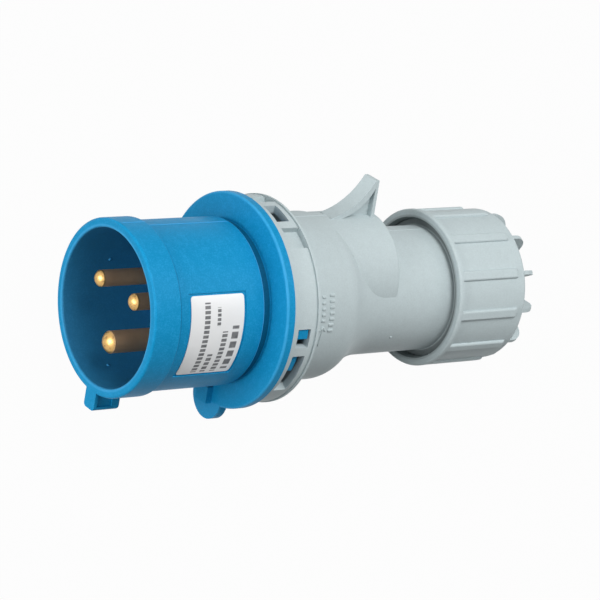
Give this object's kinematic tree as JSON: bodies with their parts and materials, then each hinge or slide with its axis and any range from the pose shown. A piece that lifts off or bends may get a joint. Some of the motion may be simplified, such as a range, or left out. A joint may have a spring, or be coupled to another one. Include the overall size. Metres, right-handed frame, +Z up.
{
  "type": "industrial plug",
  "caption": "Pin-and-sleeve industrial plug: blue sleeve with key and flange round brass pins, grey housing with retaining fin, and a ribbed gland nut.",
  "frame": {"origin": "on the floor, at the middle of the part's bounding box, as it lies on its flange and on two ribs of the nut", "axes": "+Z up, +X from the mouth to the cable end as seen from above (the plug's axis drops by 5.5 degrees towards +X), +Y to the side of the fin"},
  "size_m": [0.1786, 0.0778, 0.0777],
  "materials": {
    "blue_plastic": "moulded, semi-matt",
    "grey_plastic": "moulded, semi-matt",
    "cage_plastic": "moulded, matt",
    "black_rubber": "moulded, matt",
    "label_foil": "silver film",
    "contact_brass": "turned",
    "plated_steel": "zinc plated"
  },
  "bodies": {
    "plug": {"cable_grommet": "black_rubber", "clamp_cage": "cage_plastic", "contact_carrier": "blue_plastic", "earth_pin": "contact_brass", "earth_pressure_plate": "plated_steel", "earth_terminal_screw": "plated_steel", "front_shroud": "blue_plastic", "housing": "grey_plastic", "line_pin": "contact_brass", "line_pressure_plate": "plated_steel", "line_terminal_screw": "plated_steel", "neutral_pin": "contact_brass", "neutral_pressure_plate": "plated_steel", "neutral_terminal_screw": "plated_steel", "pin_retainer": "cage_plastic", "rating_label": "label_foil", "retainer_screw_left": "plated_steel", "retainer_screw_right": "plated_steel", "retainer_screw_top": "plated_steel"},
    "slip_ring": {"slip_ring": "cage_plastic"},
    "gland_nut": {"gland_nut": "grey_plastic"}
  },
  "joints": [
    {"name": "nut_travel", "type": "slide", "parent": "plug", "child": "slip_ring", "axis": [0.9955, 0, -0.0948], "range_m": [0, 0.012]},
    {"name": "nut_turn", "type": "hinge", "parent": "slip_ring", "child": "gland_nut", "pos_m": [0.06789, 0, 0.02909], "axis": [0.9955, 0, -0.0948], "range_deg": [0, 1080]}
  ],
  "couplings": [
    {"joint": "nut_travel", "follows": "nut_turn", "m_per_rad": 0.0006366}
  ]
}
